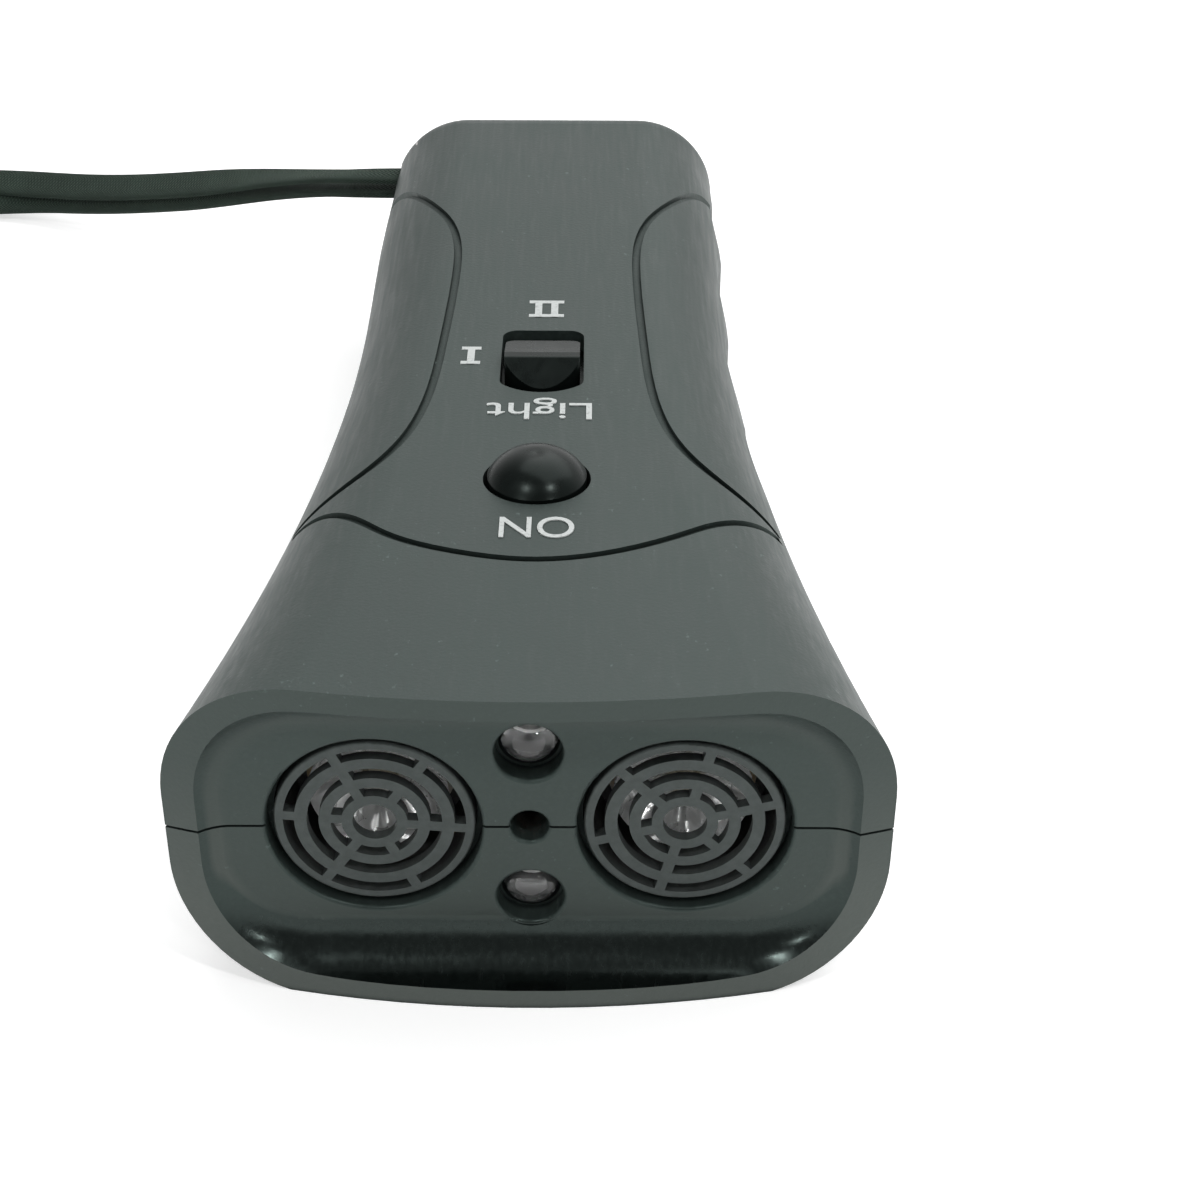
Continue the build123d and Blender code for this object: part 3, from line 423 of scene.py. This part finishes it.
def turned(name, profile, centre, toward, segments=96, wave=None):
    """A surface of revolution: point (a, s) is the centre, plus profile height(s) along the axis, plus
    profile radius(s) times the circle's direction at angle a. wave(a, radius) may move it along the axis."""
    axis = Vector(toward).normalized()
    side = axis.orthogonal().normalized()
    other = axis.cross(side)
    angle = np.linspace(0, 2 * math.pi, segments, endpoint=False)[:, None]
    radius, height = np.asarray(profile, float).T[:, None, :]
    if wave is not None:
        height = height + wave(angle, radius)
    radius, height, angle = np.broadcast_arrays(radius, height, angle)
    points = (np.array(centre) + height[..., None] * np.array(axis)
              + (radius * np.cos(angle))[..., None] * np.array(side)
              + (radius * np.sin(angle))[..., None] * np.array(other))
    closes = np.hypot(*(np.subtract(profile[0], profile[-1]))) < 1e-9
    if closes:
        points = points[:, :-1]
    faces = grid_faces(segments, points.shape[1], True, closes)
    return surface_mesh(name, points, faces)


def middle_of(node):
    low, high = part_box(node)
    return (low + high) / 2, low, high


# ---------------------------------------------------------------- operators

class REPELLER_OT_finishes(Operator):
    """Give every CAD piece its finish, by the record's material slot."""
    bl_idname = "repeller.finishes"
    bl_label = "Finishes"

    def execute(self, context):
        shell = context.scene.repeller_shell
        face = context.scene.repeller_face
        made = {
            "black_plastic": housing_finish(shell),
            "gloss_black": gloss_finish(shell),
            "grille_plastic": grille_finish(face),
            "clear_epoxy": lens_finish(face),
        }
        for name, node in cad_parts.items():
            for holder in node.material_slots:
                slot = holder.material.name
                if slot == "webbing" or holder.material in made.values():
                    continue
                if slot not in made:
                    made[slot] = inner_finish(slot)
                holder.material = made[slot]
        return {"FINISHED"}


class REPELLER_OT_cones(Operator):
    """Make the two thin speaker cones, rippled where they were pressed."""
    bl_idname = "repeller.cones"
    bl_label = "Speaker cones"

    def execute(self, context):
        look = context.scene.repeller_face
        for side in ("left", "right"):
            node = f"{side}_speaker_cone"
            middle, low, high = middle_of(node)
            centre = Vector((middle.x, high.y, middle.z))
            rim = (high.x - low.x) / 2
            depth = high.y - low.y
            skin = 0.15 * MM
            share = np.linspace(0.0, 1.0, 26)
            inside = [(rim * (0.16 + 0.84 * s), skin + (depth - skin) * s ** 1.25) for s in share]
            outside = [(radius, height - skin) for radius, height in inside[::-1]]
            profile = [(0.0, skin), *inside, *outside, (0.0, 0.0)]

            def ripple(angle, radius, flute=look.flute):
                """Flutes that fade out at the middle and the rim."""
                share = radius / rim
                fade = np.clip((share - 0.2) * 4, 0, 1) * np.clip((1 - share) * 6, 0, 1)
                return flute * fade * (np.cos(11 * angle + 2 * np.sin(angle)) + 0.5 * np.sin(23 * angle))

            mesh = turned(f"{side}_cone", profile, centre, (0, -1, 0), segments=180, wave=ripple)
            finish = cone_finish(look, tuple(centre), rim)
            piece(f"{side}_cone", mesh, finish, "body", "aluminium", node)
        return {"FINISHED"}


class REPELLER_OT_lamp_insides(Operator):
    """Make the reflector cup and post that show through each clear lamp."""
    bl_idname = "repeller.lamp_insides"
    bl_label = "Lamp insides"

    def execute(self, context):
        finish = inner_finish("tinned_steel")
        for name in ("upper", "lower"):
            middle, low, high = middle_of(f"{name}_lamp")
            centre = Vector((middle.x, high.y - 1.0 * MM, middle.z))
            cup = [(0.0, 0.0), (0.35, 0.0), (0.35, 2.4), (0.95, 2.9),
                   (1.0, 3.9), (0.85, 3.9), (0.5, 3.2), (0.0, 3.2)]
            profile = [(radius * MM, height * MM) for radius, height in cup]
            mesh = turned(f"{name}_lamp_cup", profile, centre, (0, -1, 0), segments=48)
            piece(f"{name}_lamp_cup", mesh, finish, "body", "nickel")
        return {"FINISHED"}


# The strap's route, one strand out and the other back, in metres.
STRAP_ROUTE = [
    (-0.0184, 0.0595, 0.02175), (-0.0235, 0.0595, 0.02175), (-0.031, 0.0655, 0.019), (-0.041, 0.0735, 0.0149),
    (-0.052, 0.081, 0.0106), (-0.064, 0.0885, 0.0068), (-0.0765, 0.0952, 0.0044), (-0.089, 0.1005, 0.0028),
    (-0.102, 0.107, 0.0013), (-0.117, 0.110, 0.001), (-0.130, 0.107, 0.001), (-0.1382, 0.0965, 0.001),
    (-0.1372, 0.0835, 0.001), (-0.128, 0.0758, 0.001), (-0.1135, 0.0775, 0.001), (-0.1005, 0.0868, 0.001),
    (-0.088, 0.0948, 0.0012), (-0.0755, 0.0940, 0.0026), (-0.0635, 0.0878, 0.0051), (-0.052, 0.0806, 0.00885),
    (-0.041, 0.0732, 0.01315), (-0.031, 0.0653, 0.0172), (-0.0235, 0.0595, 0.01985),
    (-0.0184, 0.0595, 0.01985),
]


def spline_points(route, resolution=24):
    """Points along the smooth NURBS line whose control points are the route, as an array."""
    curve = bpy.data.curves.new("strap_line", "CURVE")
    curve.dimensions = "3D"
    curve.resolution_u = resolution
    spline = curve.splines.new("NURBS")
    spline.points.add(len(route) - 1)
    spline.points.foreach_set("co", np.array([(*point, 1.0) for point in route]).ravel())
    spline.order_u = 3
    spline.use_endpoint_u = True
    holder = bpy.data.objects.new("strap_line", curve)
    mesh = bpy.data.meshes.new_from_object(holder)
    points = np.empty(len(mesh.vertices) * 3)
    mesh.vertices.foreach_get("co", points)
    bpy.data.objects.remove(holder)
    bpy.data.meshes.remove(mesh)
    bpy.data.curves.remove(curve)
    return points.reshape(-1, 3)


def unit(vectors):
    return vectors / np.linalg.norm(vectors, axis=-1, keepdims=True)


def smooth_step(value, start, end):
    share = np.clip((value - start) / (end - start), 0, 1)
    return share * share * (3 - 2 * share)


def flattened(wave, power):
    """The wave with its flanks steepened and its crests flattened, for a power under 1."""
    return np.sign(wave) * np.abs(wave) ** power


def tape_mesh(name, path, facing, width, thickness, around=28):
    """A flat tape along a path: point (s, t) is path(s), plus half the width times a flattened cos(t) across
    it and half the thickness times a flattened sin(t) along its facing. The width follows the path."""
    tangent = unit(np.gradient(path, axis=0))
    facing = unit(facing - (facing * tangent).sum(1, keepdims=True) * tangent)
    across = np.cross(tangent, facing)
    angle = np.linspace(0, 2 * math.pi, around, endpoint=False)
    wide = flattened(np.cos(angle), 0.55)[None, :, None] * (width / 2)[:, None, None]
    thick = flattened(np.sin(angle), 0.45)[None, :, None] * (thickness / 2)
    points = path[:, None] + wide * across[:, None] + thick * facing[:, None]
    ends = np.concatenate([points[:1].mean(1, keepdims=True).repeat(around, 1), points,
                           points[-1:].mean(1, keepdims=True).repeat(around, 1)])
    faces = grid_faces(len(ends), around, False, True)
    run = np.concatenate([[0], np.cumsum(np.linalg.norm(np.diff(path, axis=0), axis=1))])
    run = np.concatenate([run[:1], run, run[-1:]])
    turn = np.arange(around + 1) / around * 2 * (width.max() + thickness)
    row, column = np.divmod(np.arange(len(faces)), around)
    corners = [(run[row], turn[column]), (run[row], turn[column + 1]),
               (run[row + 1], turn[column + 1]), (run[row + 1], turn[column])]
    uv = np.stack([np.stack(corner, axis=-1) for corner in corners], axis=1)
    return surface_mesh(name, ends, faces, uv)


class REPELLER_OT_strap(Operator):
    """Make the woven wrist strap and the loop of it that goes round the lanyard pin."""
    bl_idname = "repeller.strap"
    bl_label = "Wrist strap"

    def execute(self, context):
        look = context.scene.repeller_strap
        finish = webbing_finish(look)
        path = spline_points(STRAP_ROUTE)
        reach = -path[:, 0]
        # The tape is pinched in its slot, turns towards the front as it falls, and lies flat on the floor.
        width = look.width * (0.86 + 0.14 * smooth_step(reach, 22 * MM, 45 * MM))
        leaning = smooth_step(reach, 26 * MM, 50 * MM) * (1 - smooth_step(reach, 74 * MM, 100 * MM))
        tilt = math.radians(30) * leaning
        facing = np.stack([np.zeros_like(tilt), -np.sin(tilt), np.cos(tilt)], axis=1)
        mesh = tape_mesh("strap", path, facing, width, look.thickness)
        strap = piece("strap", mesh, finish, "body", "webbing", "wrist_strap")
        low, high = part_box("strap_bight")

        middle, low, high = middle_of("lanyard_pin")
        bight_low, bight_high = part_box("strap_bight")
        tall = bight_high.z - bight_low.z
        turn = (high.x - low.x) / 2 + 0.1 * MM + look.thickness / 2
        angle = np.linspace(-math.pi / 2, math.pi / 2, 40)
        bend = np.stack([middle.x + turn * np.cos(angle), middle.y + turn * np.sin(angle)], axis=1)
        leg = np.linspace(bight_low.x, middle.x, 12, endpoint=False)
        legs = [np.stack([leg, np.full_like(leg, middle.y + side * turn)], axis=1) for side in (-1, 1)]
        flat = np.concatenate([legs[0], bend, legs[1][::-1]])
        around = np.column_stack([flat, np.full(len(flat), (bight_low.z + bight_high.z) / 2)])
        outward = np.column_stack([flat - np.array([middle.x, middle.y]), np.zeros(len(flat))])
        bight = tape_mesh("strap_loop", around, outward, np.full(len(flat), tall), look.thickness)
        piece("strap_loop", bight, finish, "body", "webbing", "strap_bight")
        return {"FINISHED"}


# The words: text, middle across the top, middle of the capitals along it, their height and the word's
# width, in metres.
WORDS = [("ON", 0.2 * MM, -36.45 * MM, 3.7 * MM, 6.7 * MM),
         ("Light", -0.1 * MM, -13.7 * MM, 3.4 * MM, 10.3 * MM)]
# The numerals: number of strokes, middle across the top, middle along it, in metres.
NUMERALS = [(1, -7.3 * MM, -1.55 * MM), (2, 0.2 * MM, 9.2 * MM)]


class REPELLER_OT_legends(Operator):
    """Print the words and numerals on the top; they read from the tail."""
    bl_idname = "repeller.legends"
    bl_label = "Legends"

    def execute(self, context):
        finish = printed_finish(context.scene.repeller_shell)
        parts = [self.word(*row) for row in WORDS]
        parts += [self.numeral(*row) for row in NUMERALS]
        for name, mesh in zip(("word_on", "word_light", "numeral_one", "numeral_two"), parts):
            mesh.name = name
            self.lay_on_top(mesh)
            piece(name, mesh, finish, "body", "black_plastic")
        return {"FINISHED"}

    def word(self, text, x, y, height, width):
        """The word as a thin solid of that height and width, centred on a place and facing the tail."""
        curve = bpy.data.curves.new(text, "FONT")
        curve.body = text
        curve.align_x = "CENTER"
        curve.extrude = 0.02
        curve.offset = 0.003
        curve.resolution_u = 8
        holder = bpy.data.objects.new(text, curve)
        mesh = bpy.data.meshes.new_from_object(holder)
        bpy.data.objects.remove(holder)
        points = np.empty(len(mesh.vertices) * 3)
        mesh.vertices.foreach_get("co", points)
        points = points.reshape(-1, 3)
        capital = 0.70
        size = height / capital
        left, right = points[:, 0].min(), points[:, 0].max()
        points[:, 0] = x - (points[:, 0] - (left + right) / 2) * width / (right - left)
        points[:, 1] = y - (points[:, 1] - capital / 2) * size
        points[:, 2] = points[:, 2] * size
        mesh.vertices.foreach_set("co", points.ravel())
        return mesh

    def numeral(self, strokes, x, y):
        """One or two upright bars between a top and a bottom serif, as thin plates."""
        height, bar, pitch, serif = 3.8 * MM, 0.75 * MM, 1.7 * MM, 0.62 * MM
        overhang, thin = 0.62 * MM, 0.11 * MM
        middles = [(i - (strokes - 1) / 2) * pitch for i in range(strokes)]
        plates = [(m, 0.0, bar, height) for m in middles]
        wide = (strokes - 1) * pitch + bar + 2 * overhang
        plates += [(0.0, side * (height - serif) / 2, wide, serif) for side in (-1, 1)]
        corners = np.array([(a, b, c) for a in (-1, 1) for b in (-1, 1) for c in (-1, 1)]) / 2
        faces = [(0, 1, 3, 2), (4, 6, 7, 5), (0, 4, 5, 1), (2, 3, 7, 6), (0, 2, 6, 4), (1, 5, 7, 3)]
        points = np.concatenate([corners * (w, h, thin) + (x + px, y + py, 0) for px, py, w, h in plates])
        every = [tuple(8 * i + corner for corner in face) for i in range(len(plates)) for face in faces]
        mesh = bpy.data.meshes.new("numeral")
        mesh.from_pydata(points.tolist(), [], every)
        return mesh

    def lay_on_top(self, mesh):
        """Raise every point by the height of the housing's top above it, found by a ray from above."""
        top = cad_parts["upper_housing"]
        points = np.empty(len(mesh.vertices) * 3)
        mesh.vertices.foreach_get("co", points)
        points = points.reshape(-1, 3)
        stations = np.linspace(points[:, 1].min(), points[:, 1].max(), 5)
        x = float(points[:, 0].mean())
        heights = [top.ray_cast(Vector((x, y, 0.1)), Vector((0, 0, -1)))[1].z for y in stations]
        points[:, 2] += np.interp(points[:, 1], stations, heights)
        mesh.vertices.foreach_set("co", points.ravel())
        mesh.update()


# The small lamps' places in metres, and their share of the glint's power and of the 50 mm size: two above the
# front, and two weaker ones low down, meant to glint in the clear lamps.
SMALL_LAMPS = [(-0.26, -0.42, 0.62, 1.0), (0.34, -0.36, 0.60, 1.0),
               (-0.38, -0.62, 0.32, 0.4), (0.38, -0.62, 0.32, 0.4)]
SMALL_LAMP_SIZE = 0.05
SMALL_LAMP_TARGET = (0.0, -0.05, 0.0)
KEY_PLACE = (0.22, 0.28, 0.74)
KEY_SIZE = 1.0
FLOOR_HALF = 0.8
FLOOR_DROP = 0.00002
CAMERA_PLACE = (0.00527, -0.2068, 0.1402)
CAMERA_TURN, CAMERA_DIP, CAMERA_ROLL = (math.radians(angle) for angle in (-0.201, 34.505, 0.354))
CAMERA_LENS = 68.28


class REPELLER_OT_studio(Operator):
    """Make the floor, the soft lights, the even sky and the camera."""
    bl_idname = "repeller.studio"
    bl_label = "Studio"

    def execute(self, context):
        look = context.scene.repeller_studio
        self.floor(look)
        self.sky(context, look)
        self.softbox("key_light", look.key, KEY_PLACE, (0.0, 0.0, 0.0), KEY_SIZE)
        for number, (*place, share) in enumerate(SMALL_LAMPS, 1):
            power, size = look.glint * share, SMALL_LAMP_SIZE * share
            self.softbox(f"small_lamp_{number}", power, place, SMALL_LAMP_TARGET, size)
        self.camera(context)
        context.scene.view_settings.view_transform = "Standard"
        return {"FINISHED"}

    def floor(self, look):
        side = np.array([(-1, -1, 0), (1, -1, 0), (1, 1, 0), (-1, 1, 0)], float) * FLOOR_HALF
        mesh = bpy.data.meshes.new("floor")
        mesh.from_pydata((side - (0, 0, FLOOR_DROP)).tolist(), [], [(0, 1, 2, 3)])
        finish = Finish("floor", Roughness=0.9, Specular_IOR_Level=0.1)
        shade = finish.noise(0.2, detail=2.0)
        finish.colour(finish.mixed(shade, look.floor, tint(look.floor, 0.99)))
        path = finish.nodes.new("ShaderNodeLightPath")
        seen = finish.maths("MAXIMUM", path.outputs["Is Glossy Ray"], path.outputs["Is Transmission Ray"])
        seen = finish.maths("MAXIMUM", seen, path.outputs["Is Camera Ray"])
        finish.shader.inputs["Emission Color"].default_value = (1.0, 1.0, 1.0, 1.0)
        finish.links.new(finish.maths("MULTIPLY", seen, look.glow), finish.shader.inputs["Emission Strength"])
        mesh.materials.append(finish.material)
        floor = bpy.data.objects.new("floor", mesh)
        bpy.context.scene.collection.objects.link(floor)

    def sky(self, context, look):
        """Soft light all round, dimmer from above the front, as in a room with a white sweep behind.
        The camera sees it plain white; a gloss or a clear piece sees it white behind and dim in front."""
        world = bpy.data.worlds.new("sky")
        world.use_nodes = True
        nodes, links = world.node_tree.nodes, world.node_tree.links

        def ranged(value, start, end, low, high):
            node = nodes.new("ShaderNodeMapRange")
            node.interpolation_type = "SMOOTHSTEP"
            for socket, amount in zip(("Value", "From Min", "From Max", "To Min", "To Max"),
                                      (value, start, end, low, high)):
                if isinstance(amount, bpy.types.NodeSocket):
                    links.new(amount, node.inputs[socket])
                else:
                    node.inputs[socket].default_value = amount
            return node.outputs["Result"]

        def joined(operation, first, second):
            node = nodes.new("ShaderNodeMath")
            node.operation = operation
            links.new(first, node.inputs[0])
            links.new(second, node.inputs[1])
            return node.outputs["Value"]

        place = nodes.new("ShaderNodeTexCoord").outputs["Generated"]
        direction = nodes.new("ShaderNodeSeparateXYZ")
        links.new(place, direction.inputs[0])
        lean = nodes.new("ShaderNodeVectorMath")
        lean.operation = "DOT_PRODUCT"
        links.new(place, lean.inputs[0])
        lean.inputs[1].default_value = (0.28, 1.0, 0.0)
        # the sweep is bright low down behind, a little to the right, and dims overhead and towards the front
        behind = ranged(lean.outputs["Value"], -0.05, 0.95, look.room, 1.0)
        below = ranged(direction.outputs["Z"], -0.05, 0.25, 1.0, 0.0)
        bright = joined("MAXIMUM", behind, below)
        path = nodes.new("ShaderNodeLightPath")
        mirrored = joined("MAXIMUM", path.outputs["Is Glossy Ray"], path.outputs["Is Transmission Ray"])
        strength = joined("MULTIPLY", bright, ranged(mirrored, 0.0, 1.0, look.sky, 1.0))
        strength = joined("MAXIMUM", strength, path.outputs["Is Camera Ray"])
        background = nodes["Background"]
        background.inputs["Color"].default_value = (1.0, 1.0, 1.0, 1.0)
        links.new(strength, background.inputs["Strength"])
        context.scene.world = world

    def softbox(self, name, power, place, target, size):
        light = bpy.data.lights.new(name, "AREA")
        light.shape = "SQUARE"
        light.size = size
        light.energy = power
        holder = bpy.data.objects.new(name, light)
        bpy.context.scene.collection.objects.link(holder)
        holder.location = place
        holder.rotation_euler = (Vector(target) - Vector(place)).to_track_quat("-Z", "Y").to_euler()

    def camera(self, context):
        lens = bpy.data.cameras.new("camera")
        lens.lens = CAMERA_LENS
        lens.sensor_width = 36.0
        lens.clip_start = 0.01
        camera = bpy.data.objects.new("camera", lens)
        context.scene.collection.objects.link(camera)
        turn = Matrix.Rotation(CAMERA_TURN, 4, "Z")
        nod = Matrix.Rotation(math.pi / 2 - CAMERA_DIP, 4, "X")
        roll = Matrix.Rotation(CAMERA_ROLL, 4, "Z")
        camera.matrix_world = Matrix.Translation(CAMERA_PLACE) @ turn @ nod @ roll
        context.scene.camera = camera


class REPELLER_PT_panel(Panel):
    """The steps that finish the repeller, in order."""
    bl_idname = "REPELLER_PT_panel"
    bl_label = "Ultrasonic repeller"
    bl_space_type = "VIEW_3D"
    bl_region_type = "UI"
    bl_category = "Repeller"

    def draw(self, context):
        for step in STEPS:
            self.layout.operator(step.bl_idname)
        for name in LOOKS:
            look = getattr(context.scene, name)
            box = self.layout.box()
            for key in look.__annotations__:
                box.prop(look, key)


STEPS = (REPELLER_OT_studio, REPELLER_OT_strap, REPELLER_OT_finishes, REPELLER_OT_cones,
         REPELLER_OT_lamp_insides, REPELLER_OT_legends)
LOOKS = {"repeller_shell": ShellLook, "repeller_face": FaceLook,
         "repeller_strap": StrapLook, "repeller_studio": StudioLook}


def register():
    for kind in (*LOOKS.values(), *STEPS, REPELLER_PT_panel):
        bpy.utils.register_class(kind)
    for name, kind in LOOKS.items():
        setattr(bpy.types.Scene, name, PointerProperty(type=kind))


def unregister():
    for name in LOOKS:
        delattr(bpy.types.Scene, name)
    for kind in (REPELLER_PT_panel, *reversed(STEPS), *LOOKS.values()):
        bpy.utils.unregister_class(kind)


def main():
    register()
    for step in STEPS:
        group, name = step.bl_idname.split(".")
        getattr(getattr(bpy.ops, group), name)()
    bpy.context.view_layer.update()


if __name__ == "__main__":
    main()
